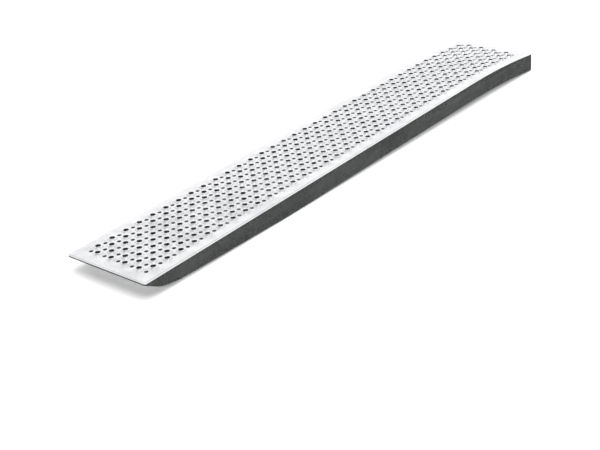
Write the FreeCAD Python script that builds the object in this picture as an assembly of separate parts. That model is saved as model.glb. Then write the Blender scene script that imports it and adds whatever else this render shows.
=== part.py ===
import FreeCAD, Part
import math
import os

# Perforated steel plank, 1.5 m long: one pressed and folded galvanised sheet, with
# welded cross ribs, a foot bar and an end angle underneath.
# Millimetres. +X runs from the low foot end to the curved top end, +Y across, +Z up.
# The straight part of the deck is parallel to XY. The pieces are modelled with the foot's
# outer face at x = 0 and the straight deck surface at z = 0. They are written with the
# origin at the centre of the footprint, level with the lowest edge of the top end.

V = FreeCAD.Vector
DIAGONAL = math.sqrt(0.5)          # sine and cosine of 45 degrees

# ---------------------------------------------------------------- driving dimensions
LENGTH = 1500.0            # along the deck surface, end to end
WIDTH = 225.0              # over the side flanges
SHEET = 2.0                # sheet thickness of the deck panel
BEND_R = 4.0               # outer radius of the long bends and the foot bend
END_BEND_R = 4.5           # outer radius of the bend at the top end
FLANGE_DEPTH = 50.0        # deck surface to underside of the return lip
LIP_WIDTH = 15.0           # return lip, measured from the outer face of the flange
GAP = 0.05                 # clearance left between touching pieces

FOOT_LIP = 5.5             # deck surface to the lower edge of the foot lip
# Lower edge of the side flanges at the foot: x, depth below the deck
TAPER = [(BEND_R, 6.8), (41.0, 26.6), (107.0, 39.0)]
TAPER_R = [30.0, 90.0]             # rounding at the taper's last two points
TAPER_LEAD = 12.0                  # the cut starts this far before the first point
TAPER_EXIT_X = 190.0               # the cut ends here,
TAPER_EXIT_DROP = 2.0              # this far below the return lip
# Underside of the return lip up to the knee: x, depth below the deck
LIP_LINE = [(165.0, 40.8), (440.0, FLANGE_DEPTH)]
LIP_START_X = (110.0, 135.0)       # oblique start of the lip: at the flange, at the free edge

PITCH_X = 20.2             # row pitch of the perforation, along the plank
PITCH_Y = 20.0             # column pitch, across
ROWS = 71                  # rows are counted from 0 at the foot
COLUMNS = 9
FIRST_ROW = 36.8           # foot edge to the first row
CURVE_ROW = 57             # last row on the straight part
CURVE_R = 2400.0           # radius of the downward curve at the top end

CRATER_OPEN_R = 6.0        # large raised opening
CRATER_RIM_R = 7.0         # outer radius of the rim
CRATER_BASE_R = 9.0        # where the flank meets the deck
CRATER_UNDER_R = 8.2       # where the hollow starts on the underside
CRATER_H = 3.0             # rim above the deck
CRATER_RIM_DROP = 0.45     # rim's outer edge down to its inner edge
CRATER_FILLET = 0.8        # tangent length of the fillet round the base
CRATER_FILLET_MID = (0.16, 0.20)   # middle of that fillet: beyond the base radius, above the deck
HOLE_R = 4.5               # small plain hole

RIB_SHEET = 2.0            # cross ribs: pressed angle with a tab at each end
RIB_BEND_R = 3.0           # outer radius of the rib's bends
RIB_HEIGHT = 32.0
RIB_FOOT = 16.0            # width of the bottom flange and of the end tabs
RIB_ROWS = range(6, 67, 12)        # each rib stands between this row and the next
RIB_X = -RIB_SHEET / 2.0           # foot-side face of the web, in the rib's own frame
TAB_BELOW = 1.0            # tab starts this far above the bottom bend
TAB_ABOVE = 4.0            # tab ends this far below the top of the web
RIB_HOLE_R = 7.0           # round holes through the web
RIB_HOLE_Y = (-60.0, 0.0, 60.0)
# Clipped top corners of a rib, clear of the long bends: y, z
HALF = WIDTH / 2.0
TANGENT = HALF - BEND_R                # where the flat of the deck ends
RIB_CLIP = [(TANGENT - 1.5, 0.0), (HALF + 2, 0.0), (HALF + 2, -8.5), (TANGENT + 0.5, -5.2)]

FOOT_BAR_X = BEND_R + 0.5  # flat bar behind the foot lip
FOOT_BAR_W = 20.0
FOOT_BAR_T = 3.0
FOOT_BAR_EASE = 0.8        # chamfer of its lower long edges
FOOT_BAR_INSET = 3.0       # bar end short of the long bend
ANGLE_LEG = 28.0           # angle inside the top end
ANGLE_T = 3.0
ANGLE_CLEARANCE = 0.4      # outer corner chamfer, beyond the inner bend radius
ANGLE_ROOT = 2.2           # chamfer in its inner corner
ANGLE_INSET = 0.5          # angle end short of the long bend

WELD_LEG = 3.0             # fillet weld leg
RIB_WELD = 16.0            # length of a rib tab weld
RIB_WELD_RISE = 8.0        # its lower end above the rib's underside
FOOT_WELD = 24.0           # stitches on the foot bar: length, centres across
FOOT_WELD_Y = (-88.0, -44.0, 0.0, 44.0, 88.0)
ANGLE_WELD = 28.0          # stitches on the end angle: length, centres across
ANGLE_WELD_Y = (-75.0, -25.0, 25.0, 75.0)
SEAM_TOP_DROP = 0.3        # top end seam: dome centre below the bend's centre
SEAM_LOW_RISE = 0.5        # top end seam: its lower end above the lip's bend

INNER = HALF - SHEET                   # inner face of a side flange
CURVE_START = FIRST_ROW + (CURVE_ROW + 0.5) * PITCH_X   # along the deck
RIB_TOP = -SHEET - GAP
RIB_LOW = RIB_TOP - RIB_HEIGHT


# ---------------------------------------------------------------- the deck's centre line
def deck_facets():
    """Flat facets of the deck, and the point (x, z) where the last one ends.

    Each facet is (distance along the deck, x, z, slope) at its start. The first is the whole
    straight part, then one per row of the curve, and one up to the top end bend.
    """
    lengths = [PITCH_X] * (ROWS - 1 - CURVE_ROW)
    lengths.append(LENGTH - END_BEND_R - CURVE_START - sum(lengths))
    facets = [(0.0, 0.0, 0.0, 0.0)]
    run, x, z = 0.0, CURVE_START, 0.0
    for length in lengths:
        slope = (run + length / 2.0) / CURVE_R
        facets.append((CURVE_START + run, x, z, slope))
        x += length * math.cos(slope)
        z -= length * math.sin(slope)
        run += length
    return facets, (x, z)


FACETS, (BEND_X, BEND_Z) = deck_facets()
END_SLOPE = FACETS[-1][3]

# centre of the top end bend, outer face of the end flange and its lowest level
END_CENTRE_X = BEND_X - END_BEND_R * math.sin(END_SLOPE)
END_CENTRE_Z = BEND_Z - END_BEND_R * math.cos(END_SLOPE)
END_X = END_CENTRE_X + END_BEND_R
LOW_Z = BEND_Z - FLANGE_DEPTH / math.cos(END_SLOPE)
SHIFT = V(-END_X / 2.0, 0, -LOW_Z)


def deck_frame(distance, y=0.0):
    """Placement of a frame lying in the deck surface at this distance from the foot."""
    # a point on a joint belongs to the facet that ends there
    start, x, z, slope = [facet for facet in FACETS if facet[0] < distance - 1e-9][-1]
    x += (distance - start) * math.cos(slope)
    z -= (distance - start) * math.sin(slope)
    return FreeCAD.Placement(V(x, y, z), FreeCAD.Rotation(V(0, 1, 0), math.degrees(slope)))


def rib_frame(row):
    """Deck frame halfway between this row and the next."""
    return deck_frame(FIRST_ROW + (row + 0.5) * PITCH_X)


def lip_depth(x):
    """Depth of the return lip's underside below the deck: shallower towards the foot."""
    (x0, depth0), (x1, depth1) = LIP_LINE
    return depth1 if x >= x1 else depth0 + (depth1 - depth0) * (x - x0) / (x1 - x0)


# ---------------------------------------------------------------- small helpers
def edge_of(points):
    """Line through two points, or arc through three."""
    if len(points) == 3:
        return Part.Arc(*points).toShape()
    return Part.makeLine(*points)


def face_of(segments):
    """Flat face inside a closed run of lines and arcs."""
    return Part.Face(Part.Wire([edge_of(points) for points in segments]))


def closed(points):
    return Part.makePolygon(points + [points[0]])


def prism(points, direction):
    return Part.Face(closed(points)).extrude(direction)


def placed(shape, placement):
    shape = shape.copy()
    shape.Placement = placement
    return shape


# ---------------------------------------------------------------- perforation
def revolved(points):
    return edge_of(points).revolve(V(0, 0, 0), V(0, 0, 1), 360)


def crater_faces():
    """The raised opening at the origin: base fillet, flank, rim and hollow."""
    across = CRATER_BASE_R - CRATER_RIM_R
    flank = math.hypot(across, CRATER_H)
    base_out = V(CRATER_BASE_R + CRATER_FILLET, 0, 0)
    base_mid = V(CRATER_BASE_R + CRATER_FILLET_MID[0], 0, CRATER_FILLET_MID[1])
    base_in = V(CRATER_BASE_R - CRATER_FILLET * across / flank, 0,
                CRATER_FILLET * CRATER_H / flank)
    rim_out = V(CRATER_RIM_R, 0, CRATER_H)
    rim_in = V(CRATER_OPEN_R, 0, CRATER_H - CRATER_RIM_DROP)
    under = V(CRATER_UNDER_R, 0, -SHEET)
    profile = [(base_out, base_mid, base_in), (base_in, rim_out), (rim_out, rim_in),
               (rim_in, under)]
    return [revolved(points) for points in profile]


def circle_at(faces, z, radius):
    """The full circle edge of these faces at that height, anticlockwise from above."""
    for face in faces:
        for edge in face.Edges:
            curve = edge.Curve
            if (isinstance(curve, Part.Circle) and abs(curve.Radius - radius) < 1e-6
                    and abs(curve.Center.z - z) < 1e-6):
                edge = edge.copy()
                if edge.Orientation == "Reversed":
                    edge.reverse()
                if curve.Axis.z < 0:
                    edge.reverse()
                return edge
    raise ValueError("no circle of radius %g at %g" % (radius, z))


def opening(faces, top_radius, bottom_radius):
    """(faces, circle on the deck surface, circle on its underside)."""
    return faces, circle_at(faces, 0.0, top_radius), circle_at(faces, -SHEET, bottom_radius)


CRATER = opening(crater_faces(), CRATER_BASE_R + CRATER_FILLET, CRATER_UNDER_R)
HOLE = opening([revolved((V(HOLE_R, 0, 0), V(HOLE_R, 0, -SHEET)))], HOLE_R, HOLE_R)


def perforation(rows):
    """(faces, circles on the deck surface, circles on its underside) of these rows."""
    all_faces, top, bottom = [], [], []
    for row in rows:
        for column in range(COLUMNS):
            y = ((COLUMNS - 1) / 2.0 - column) * PITCH_Y
            frame = deck_frame(FIRST_ROW + row * PITCH_X, y)
            # craters and plain holes alternate like a chessboard
            faces, upper, lower = CRATER if (column + row) % 2 == 1 else HOLE
            all_faces += [placed(face, frame) for face in faces]
            top.append(Part.Wire([placed(upper, frame)]))
            bottom.append(Part.Wire([placed(lower, frame)]))
    return all_faces, top, bottom


# ---------------------------------------------------------------- deck panel
def section(x, z, up_x, up_z, depth):
    """Section of the folded sheet at one station: top and bottom of the flat, and the folds.

    A point (y, height) of the section sits at (x, z) + height * (up_x, up_z).
    """
    def at(y, height):
        return V(x + height * up_x, y, z + height * up_z)

    inner_r = BEND_R - SHEET
    outer_mid = BEND_R * DIAGONAL
    inner_mid = inner_r * DIAGONAL
    turn = -depth + BEND_R                 # height where the side meets the lower bend
    lip = HALF - LIP_WIDTH
    half = [
        # long bend and side, outer face
        (at(TANGENT, 0), at(TANGENT + outer_mid, -BEND_R + outer_mid), at(HALF, -BEND_R)),
        (at(HALF, -BEND_R), at(HALF, turn)),
        # lower bend and return lip
        (at(HALF, turn), at(TANGENT + outer_mid, turn - outer_mid), at(TANGENT, -depth)),
        (at(TANGENT, -depth), at(lip, -depth)),
        (at(lip, -depth), at(lip, -depth + SHEET)),
        (at(lip, -depth + SHEET), at(TANGENT, -depth + SHEET)),
        (at(TANGENT, -depth + SHEET), at(TANGENT + inner_mid, turn - inner_mid),
         at(INNER, turn)),
        # side and long bend, inner face
        (at(INNER, turn), at(INNER, -BEND_R)),
        (at(INNER, -BEND_R), at(TANGENT + inner_mid, -BEND_R + inner_mid),
         at(TANGENT, -SHEET)),
    ]
    folds = []
    for points in half:
        folds += [points, tuple(V(p.x, -p.y, p.z) for p in points)]
    return {"top": (at(TANGENT, 0), at(-TANGENT, 0)),
            "bottom": (at(TANGENT, -SHEET), at(-TANGENT, -SHEET)),
            "folds": folds}


def curve_sections():
    """Sections at the joints of the facets, mitred, and at the plumb end of the last one."""
    slopes = [facet[3] for facet in FACETS]
    sections = []
    for (_, x, z, slope), before in zip(FACETS[1:], slopes):
        half_turn = (slope - before) / 2.0
        middle = (before + slope) / 2.0
        sections.append(section(x, z, math.sin(middle) / math.cos(half_turn),
                                math.cos(middle) / math.cos(half_turn), FLANGE_DEPTH))
    sections.append(section(BEND_X, BEND_Z, 0.0, 1.0 / math.cos(END_SLOPE), FLANGE_DEPTH))
    return sections


def strip(a, b):
    """Face between the same piece of two sections: flat for a straight piece, ruled for a bend."""
    if len(a) == 2:
        return Part.Face(closed([a[0], a[1], b[1], b[0]]))
    return Part.makeRuledSurface(edge_of(a), edge_of(b))


def cap(sheet):
    """Closing face of a whole section."""
    edges = [edge_of(points) for points in [sheet["top"]] + sheet["folds"] + [sheet["bottom"]]]
    return Part.Face(Part.Wire(Part.__sortEdges__(edges)))


def deck_run(sections, rows):
    """Faces through these sections, whose deck is one flat carrying these rows."""
    faces, top, bottom = perforation(rows)
    for before, after in zip(sections, sections[1:]):
        faces += [strip(a, b) for a, b in zip(before["folds"], after["folds"])]
    # every section gives the flat a corner, to match the bends beside it
    for level, circles in (("top", top), ("bottom", bottom)):
        ends = [each[level] for each in sections]
        corners = [ends[0][0]] + [end[1] for end in ends] + [end[0] for end in ends[:0:-1]]
        for circle in circles:
            circle.reverse()               # openings run against the outline
        faces.append(Part.Face([closed(corners)] + circles))
    return faces


def folded_sheet():
    """The sheet with its craters, holes, side flanges and return lips, open at both ends."""
    start = section(BEND_R, 0, 0, 1, lip_depth(BEND_R))
    knee = section(LIP_LINE[1][0], 0, 0, 1, FLANGE_DEPTH)
    curve = curve_sections()
    faces = [cap(start)] + deck_run([start, knee, curve[0]], range(CURVE_ROW + 1))
    for row, pair in enumerate(zip(curve, curve[1:]), CURVE_ROW + 1):
        faces += deck_run(pair, [row] if row < ROWS else [])
    faces.append(cap(curve[-1]))

    skin = Part.makeCompound(faces)
    skin.sewShape(1e-3)
    if len(skin.Shells) != 1:
        raise ValueError("the faces make %d shells, not one" % len(skin.Shells))
    solid = Part.Solid(skin.Shells[0])
    if solid.Volume < 0:
        solid.reverse()
    return solid


def end_fold(centre_x, centre_z, radius, start, finish, low):
    """Bend between two angles in XZ, with a plumb flange below it down to low."""
    def on_bend(bend_r, angle):
        return V(centre_x + bend_r * math.cos(angle), -TANGENT,
                 centre_z + bend_r * math.sin(angle))

    outer = [on_bend(radius, a) for a in (start, (start + finish) / 2, finish)]
    inner = [on_bend(radius - SHEET, a) for a in (finish, (start + finish) / 2, start)]
    outer_low = V(outer[2].x, -TANGENT, low)
    inner_low = V(inner[0].x, -TANGENT, low)
    face = face_of([(inner[2], outer[0]), outer, (outer[2], outer_low),
                    (outer_low, inner_low), (inner_low, inner[0]), inner])
    return face.extrude(V(0, 2 * TANGENT, 0))


def rounded(points, radii):
    """Polyline with its inner corners rounded, as a list of segments."""
    segments = []
    last = points[0]
    for before, corner, after, radius in zip(points, points[1:], points[2:], radii):
        back = (before - corner).normalize()
        ahead = (after - corner).normalize()
        half_angle = math.acos(max(-1, min(1, back.dot(ahead)))) / 2
        reach = radius / math.tan(half_angle)
        start, finish = corner + back * reach, corner + ahead * reach
        bisector = (back + ahead).normalize()
        middle = corner + bisector * (radius / math.sin(half_angle) - radius)
        segments += [(last, start), (start, middle, finish)]
        last = finish
    segments.append((last, points[-1]))
    return segments


def taper_cutter():
    """Everything below the foot taper's line, across the whole width."""
    margin = 5.0
    y = -HALF - margin
    low = -FLANGE_DEPTH - 10
    first, second, third = [V(x, y, -depth) for x, depth in TAPER]
    lead = first + (first - second).normalize() * TAPER_LEAD
    # past the last corner the line drops clear of the return lip's underside
    leave = V(TAPER_EXIT_X, y, -lip_depth(TAPER_EXIT_X) - TAPER_EXIT_DROP)
    low_leave, low_lead = V(leave.x, y, low), V(lead.x, y, low)
    outline = rounded([lead, second, third, leave], TAPER_R)
    outline += [(leave, low_leave), (low_leave, low_lead), (low_lead, lead)]
    return face_of(outline).extrude(V(0, WIDTH + 2 * margin, 0))


def lip_cutters():
    """Everything inboard of the lower bend, on the foot side of each lip's oblique start."""
    at_flange, at_free = LIP_START_X
    back = at_flange - 60
    free = HALF - LIP_WIDTH
    plan = [(back, free - 3), (back, TANGENT), (at_flange, TANGENT), (at_free, free),
            (at_free, free - 3)]
    return [prism([V(x, side * y, -20) for x, y in plan], V(0, 0, -50)) for side in (1, -1)]


def deck_panel():
    """The folded sheet with its tapered flanges, foot lip and top end flange."""
    foot = end_fold(BEND_R, -BEND_R, BEND_R, math.pi / 2, math.pi, -FOOT_LIP)
    end = end_fold(END_CENTRE_X, END_CENTRE_Z, END_BEND_R, math.pi / 2 - END_SLOPE, 0.0, LOW_Z)
    body = folded_sheet().cut([taper_cutter()] + lip_cutters())
    return body.fuse([foot, end])


# ---------------------------------------------------------------- cross ribs
def rib_angle(at, height):
    """Face of a bent strip: the web up to this height, a bend, and a flange RIB_FOOT wide.

    at(x, h) gives the point at distance h from the flange's outer face.
    """
    inner_r = RIB_BEND_R - RIB_SHEET
    inner_x, bend_x, free_x = RIB_X + RIB_SHEET, RIB_X + RIB_BEND_R, RIB_X + RIB_FOOT
    inner_mid = RIB_BEND_R - inner_r * DIAGONAL
    outer_mid = RIB_BEND_R - RIB_BEND_R * DIAGONAL
    segments = [
        (at(RIB_X, height), at(inner_x, height)),
        (at(inner_x, height), at(inner_x, RIB_BEND_R)),
        (at(inner_x, RIB_BEND_R), at(RIB_X + inner_mid, inner_mid), at(bend_x, RIB_SHEET)),
        (at(bend_x, RIB_SHEET), at(free_x, RIB_SHEET)),
        (at(free_x, RIB_SHEET), at(free_x, 0)),
        (at(free_x, 0), at(bend_x, 0)),
        (at(bend_x, 0), at(RIB_X + outer_mid, outer_mid), at(RIB_X, RIB_BEND_R)),
        (at(RIB_X, RIB_BEND_R), at(RIB_X, height)),
    ]
    if height == RIB_BEND_R:               # no straight web beside the bend
        segments = [segments[0]] + segments[2:7]
    return face_of(segments)


def cross_rib(row):
    """Pressed angle: a web on edge under the deck, a bottom flange and a tab at each end."""
    out = INNER - GAP
    web = out - RIB_BEND_R                 # half length of the web
    body = rib_angle(lambda x, h: V(x, -web, RIB_LOW + h), RIB_HEIGHT)
    body = body.extrude(V(0, 2 * web, 0))
    tab_low = RIB_LOW + RIB_BEND_R + TAB_BELOW
    tab_top = RIB_TOP - TAB_ABOVE
    tabs = []
    for side in (1, -1):
        face = rib_angle(lambda x, h: V(x, side * (out - h), tab_low), RIB_BEND_R)
        tabs.append(face.extrude(V(0, 0, tab_top - tab_low)))
    body = body.fuse(tabs).removeSplitter()
    for y in RIB_HOLE_Y:
        centre = V(-5, y, -SHEET - RIB_HEIGHT / 2.0)
        body = body.cut(Part.makeCylinder(RIB_HOLE_R, 10, centre, V(1, 0, 0)))
    for side in (1, -1):
        body = body.cut(prism([V(-20, side * y, z) for y, z in RIB_CLIP], V(60, 0, 0)))
    body.Placement = rib_frame(row)
    return body


# ---------------------------------------------------------------- foot bar and end angle
def foot_bar():
    """Flat bar under the deck, behind the foot lip, with its lower long edges eased."""
    x0, x1 = FOOT_BAR_X, FOOT_BAR_X + FOOT_BAR_W
    z1 = -SHEET - GAP
    z0 = z1 - FOOT_BAR_T
    ease = FOOT_BAR_EASE
    y = TANGENT - FOOT_BAR_INSET
    outline = [(x0, z1), (x1, z1), (x1, z0 + ease), (x1 - ease, z0), (x0 + ease, z0),
               (x0, z0 + ease)]
    return prism([V(x, -y, z) for x, z in outline], V(0, 2 * y, 0))


ANGLE_X = END_X - SHEET - GAP          # outer face of the angle's plumb leg


def under_deck(x, extra=0.0):
    """Level just below the deck's last facet at x, and a further extra square to it."""
    return (BEND_Z + (BEND_X - x) * math.tan(END_SLOPE)
            - (SHEET + GAP + extra) / math.cos(END_SLOPE))


def top_end_angle():
    """Angle inside the top end: one leg under the sloping deck, one plumb on the end flange."""
    clear = END_BEND_R - SHEET + ANGLE_CLEARANCE
    free_x = ANGLE_X - ANGLE_LEG
    leg_x = ANGLE_X - ANGLE_T
    root_x = leg_x - ANGLE_ROOT
    low = under_deck(ANGLE_X) - ANGLE_LEG
    y = TANGENT - ANGLE_INSET
    outline = [
        (free_x, under_deck(free_x)),
        (ANGLE_X - clear, under_deck(ANGLE_X - clear)),
        (ANGLE_X, under_deck(ANGLE_X) - clear),
        (ANGLE_X, low),
        (leg_x, low),
        (leg_x, under_deck(leg_x, ANGLE_T) - ANGLE_ROOT),
        (root_x, under_deck(root_x, ANGLE_T)),
        (free_x, under_deck(free_x, ANGLE_T)),
    ]
    return prism([V(x, -y, z) for x, z in outline], V(0, 2 * y, 0))


# ---------------------------------------------------------------- welds
def weld(length, origin, leg, along, base=FreeCAD.Placement()):
    """Slightly hollow fillet bead with its corner on the line from origin.

    It runs along one direction, with one leg in direction leg and the other in along x leg.
    """
    near = GAP / 2
    a, b, c = V(near, near, 0), V(WELD_LEG, near, 0), V(near, WELD_LEG, 0)
    hollow = V(WELD_LEG / 2, WELD_LEG / 2, 0)
    bead = face_of([(a, b), (b, hollow, c), (c, a)]).extrude(V(0, 0, length))
    other = along.cross(leg)
    frame = FreeCAD.Matrix(leg.x, other.x, along.x, origin.x,
                           leg.y, other.y, along.y, origin.y,
                           leg.z, other.z, along.z, origin.z,
                           0, 0, 0, 1)
    bead.Placement = base.multiply(FreeCAD.Placement(frame))
    return bead


def rib_welds():
    """Upright fillets on the free edge of each end tab."""
    beads = []
    low = RIB_LOW + RIB_WELD_RISE
    x = RIB_X + RIB_FOOT
    for row in RIB_ROWS:
        # the +Y bead runs downwards, so that both grow inwards from the side flange
        for side, z in ((1, low + RIB_WELD), (-1, low)):
            beads.append(weld(RIB_WELD, V(x, side * INNER, z), V(1, 0, 0), V(0, 0, -side),
                              rib_frame(row)))
    return Part.makeCompound(beads)


def stitches(length, centres, x, z, leg):
    """Beads across the plank, centred on these y."""
    return Part.makeCompound([
        weld(length, V(x, y - length / 2, z), leg, V(0, 1, 0)) for y in centres])


def foot_bar_welds():
    """Stitch fillets between the deck and the bar's edge away from the foot lip."""
    return stitches(FOOT_WELD, FOOT_WELD_Y, FOOT_BAR_X + FOOT_BAR_W, -SHEET, V(1, 0, 0))


def top_end_angle_welds():
    """Stitch fillets under the angle's plumb leg, on the end flange."""
    return stitches(ANGLE_WELD, ANGLE_WELD_Y, END_X - SHEET, under_deck(ANGLE_X) - ANGLE_LEG,
                    V(0, 0, -1))


def corner_seam(side, centre_x, keep_x, low, high):
    """Upright quarter ring at one corner, from low to high, with a rounded top."""
    outer_r, inner_r = BEND_R - GAP, BEND_R - SHEET + GAP
    size = 10.0                            # of the boxes that keep one quarter
    height = high - low
    keep_y = TANGENT + GAP if side > 0 else -TANGENT - GAP - size
    foot = V(centre_x, side * TANGENT, low)
    top = V(centre_x, side * TANGENT, high)
    ring = Part.makeCylinder(outer_r, height, foot)
    ring = ring.cut(Part.makeCylinder(inner_r, height, foot))
    ring = ring.common(Part.makeBox(size, size, height, V(keep_x, keep_y, low)))
    dome = Part.makeSphere(outer_r, top).cut(Part.makeSphere(inner_r, top))
    dome = dome.common(Part.makeBox(size, size, size, V(keep_x, keep_y, high)))
    return ring.fuse(dome).removeSplitter().Solids


def corner_welds():
    """Seams that close the four corners between the end folds and the side flanges."""
    solids = []
    end_x = END_X - BEND_R
    for side in (1, -1):
        solids += corner_seam(side, end_x, end_x + GAP, LOW_Z + BEND_R + SEAM_LOW_RISE,
                              END_CENTRE_Z - SEAM_TOP_DROP)
        solids += corner_seam(side, BEND_R, BEND_R - GAP - 10, -FOOT_LIP, -BEND_R)
    return Part.makeCompound(solids)


# ---------------------------------------------------------------- write the pieces
def write(name, shape):
    shape.translate(SHIFT)
    shape.exportStep("parts/%s.step" % name)


os.makedirs("parts", exist_ok=True)
write("deck_panel", deck_panel())
for number, rib_row in enumerate(RIB_ROWS, 1):
    write("cross_rib_%d" % number, cross_rib(rib_row))
write("foot_bar", foot_bar())
write("top_end_angle", top_end_angle())
write("rib_tab_welds", rib_welds())
write("foot_bar_welds", foot_bar_welds())
write("top_end_angle_welds", top_end_angle_welds())
write("corner_welds", corner_welds())
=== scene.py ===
"""A perforated galvanised steel plank: a folded sheet with pressed craters and small holes, side
flanges with a lip, weld beads and corner seams, on a pale studio floor.

X runs along the plank from the foot edge to the top end, Y across it, Z up. The deck is straight
from the foot and curves down towards the top end. The sheet is worked out in plank millimetres,
with x 0 at the foot edge and z 0 on the flat deck; all else is in the row frame, in metres."""
import math

import bpy
import numpy as np
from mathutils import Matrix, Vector


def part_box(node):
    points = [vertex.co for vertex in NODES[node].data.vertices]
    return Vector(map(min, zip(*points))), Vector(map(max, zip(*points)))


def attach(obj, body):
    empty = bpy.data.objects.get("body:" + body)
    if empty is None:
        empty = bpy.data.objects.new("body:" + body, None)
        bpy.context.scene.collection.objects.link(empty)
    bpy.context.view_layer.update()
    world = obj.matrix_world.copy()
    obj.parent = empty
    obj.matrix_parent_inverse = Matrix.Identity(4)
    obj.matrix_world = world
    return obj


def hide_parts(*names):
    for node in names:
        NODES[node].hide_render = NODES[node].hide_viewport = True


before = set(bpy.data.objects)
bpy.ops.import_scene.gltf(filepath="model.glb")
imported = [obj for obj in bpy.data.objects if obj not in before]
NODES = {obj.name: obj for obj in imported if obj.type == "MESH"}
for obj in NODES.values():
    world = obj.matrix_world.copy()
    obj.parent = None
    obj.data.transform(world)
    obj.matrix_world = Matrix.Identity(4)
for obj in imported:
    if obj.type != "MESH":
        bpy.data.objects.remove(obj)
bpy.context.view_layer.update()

DECK_LO, DECK_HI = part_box("deck_panel")
MM = 0.001

# ------------------------------------------------------------------ plank sizes, in millimetres
# Distances are measured along the deck surface from the foot edge.
LENGTH = 1500.0                  # along the deck surface
SHEET = 2.0                      # sheet thickness
BEND_R = 4.0                     # outer radius of the side and foot folds
END_R = 4.5                      # outer radius of the top end fold
FLANGE_DEPTH = 50.0
LIP = 15.0                       # inward lip under each flange
FOOT_LIP = 5.5
CRATER_H = 3.0
X_END = (DECK_HI.x - DECK_LO.x) / MM
Z_LOW = -((DECK_HI.z - DECK_LO.z) / MM - CRATER_H)
HALF_WIDTH = (DECK_HI.y - DECK_LO.y) / MM / 2
DECK_Y = HALF_WIDTH - BEND_R     # where the side folds start
QUARTER = math.pi / 2 * BEND_R   # length of a quarter bend

# perforation cells
ROW_PITCH, COLUMN_PITCH = 20.2, 20.0
ROWS, COLUMNS = 71, 9
FIRST_ROW = 36.8
LAST_ROW = FIRST_ROW + (ROWS - 1) * ROW_PITCH
FIRST_COLUMN_Y = (COLUMNS - 1) / 2 * COLUMN_PITCH
CELLS_Y = COLUMNS * COLUMN_PITCH / 2

# the deck's downward curve, which runs to the far edge of the last cell
CURVE_R = 2400.0
CURVE_ROW = 57
CURVE_START = FIRST_ROW + (CURVE_ROW + 0.5) * ROW_PITCH
CURVE_RUN = (ROWS - 1 - CURVE_ROW) * ROW_PITCH
CURVE_ANGLE = CURVE_RUN / CURVE_R
CELLS_END = CURVE_START + CURVE_RUN
DECK_END = LENGTH - END_R        # where the top end fold starts
END_SLOPE = (CURVE_RUN + (DECK_END - CELLS_END) / 2) / CURVE_R
SLOPE_EASE = 8.0                 # the normals turn to the end slope over this distance

# flange outline: the depth grows to the full one between DEPTH_X and KNEE_X
DEPTH_X, DEPTH_THERE = 165.0, 40.8
KNEE_X = 440.0
# the flange is cut back near the foot: (x, depth) of the cut line
TAPER = [(4.0, 6.8), (41.0, 26.6), (107.0, 39.0), (190.0, 43.6364)]
TAPER_R = [30.0, 90.0]
TAPER_END = 150.0                # the cut line counts up to this x
LIP_START, LIP_GROWTH = 110.0, 25.0

# mesh steps
CELL_STEPS = 6                   # along each side of a perforation cell
RING_STEPS = 4 * CELL_STEPS
MARGIN_STEPS = 4                 # from the outermost cells to a side fold
BEND_STEPS, FLANGE_STEPS, TURN_STEPS, LIP_STEPS = 5, 6, 4, 2
SIDE_COLUMNS = BEND_STEPS + FLANGE_STEPS + TURN_STEPS + LIP_STEPS
COLUMN_Y = np.concatenate([
    np.linspace(DECK_Y, CELLS_Y, MARGIN_STEPS + 1)[:-1],
    np.linspace(CELLS_Y, -CELLS_Y, COLUMNS * CELL_STEPS + 1),
    np.linspace(-CELLS_Y, -DECK_Y, MARGIN_STEPS + 1)[1:]])
DECK_FIRST = SIDE_COLUMNS        # grid columns of the deck's two edges, +Y first
DECK_LAST = SIDE_COLUMNS + len(COLUMN_Y) - 1
CELL_FIRST = SIDE_COLUMNS + MARGIN_STEPS
GRID_COLUMNS = len(COLUMN_Y) + 2 * SIDE_COLUMNS
OFF_DECK = -1.0                  # stands for the distance at stations of the foot and top end folds


def to_frame(points):
    """Plank millimetres to the row frame in metres."""
    return points * MM + (DECK_LO.x, 0.0, DECK_HI.z - CRATER_H * MM)


def smooth(start, end, value):
    t = np.clip((np.asarray(value, float) - start) / (end - start), 0, 1)
    return t * t * (3 - 2 * t)


def unit(vectors):
    return vectors / np.maximum(np.linalg.norm(vectors, axis=-1, keepdims=True), 1e-9)


def fillet(before, corner, after, radius, steps):
    """Points of a rounded corner, and their directions from the arc's centre."""
    before, corner, after = (np.array(p, float) for p in (before, corner, after))
    back, ahead = unit(before - corner), unit(after - corner)
    half = math.acos(float(back @ ahead)) / 2
    tangent = radius / math.tan(half)
    centre = corner + unit(back + ahead) * radius / math.sin(half)
    start = corner + back * tangent - centre
    end = corner + ahead * tangent - centre
    angle0, angle1 = math.atan2(start[1], start[0]), math.atan2(end[1], end[0])
    if angle1 - angle0 > math.pi:
        angle1 -= 2 * math.pi
    if angle0 - angle1 > math.pi:
        angle1 += 2 * math.pi
    angles = angle0 + (angle1 - angle0) * np.arange(steps + 1) / steps
    directions = np.stack([np.cos(angles), np.sin(angles)], 1)
    return centre + radius * directions, directions


# ------------------------------------------------------------------ deck line and unevenness
def deck_line(dist):
    """Point (x, z) and normal (x, z) of the deck surface at a distance from the foot."""
    dist = np.asarray(dist, float)
    angle = np.clip((dist - CURVE_START) / CURVE_R, 0, CURVE_ANGLE)
    x = np.where(dist < CURVE_START, dist, CURVE_START + CURVE_R * np.sin(angle))
    z = np.where(dist < CURVE_START, 0.0, -CURVE_R * (1 - np.cos(angle)))
    beyond = np.clip(dist - CELLS_END, 0, None)
    x = x + beyond * math.cos(END_SLOPE)
    z = z - beyond * math.sin(END_SLOPE)
    ease = smooth(CELLS_END, CELLS_END + SLOPE_EASE, dist)
    angle = angle + (END_SLOPE - CURVE_ANGLE) * ease
    return x, z, np.sin(angle), np.cos(angle)


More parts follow.
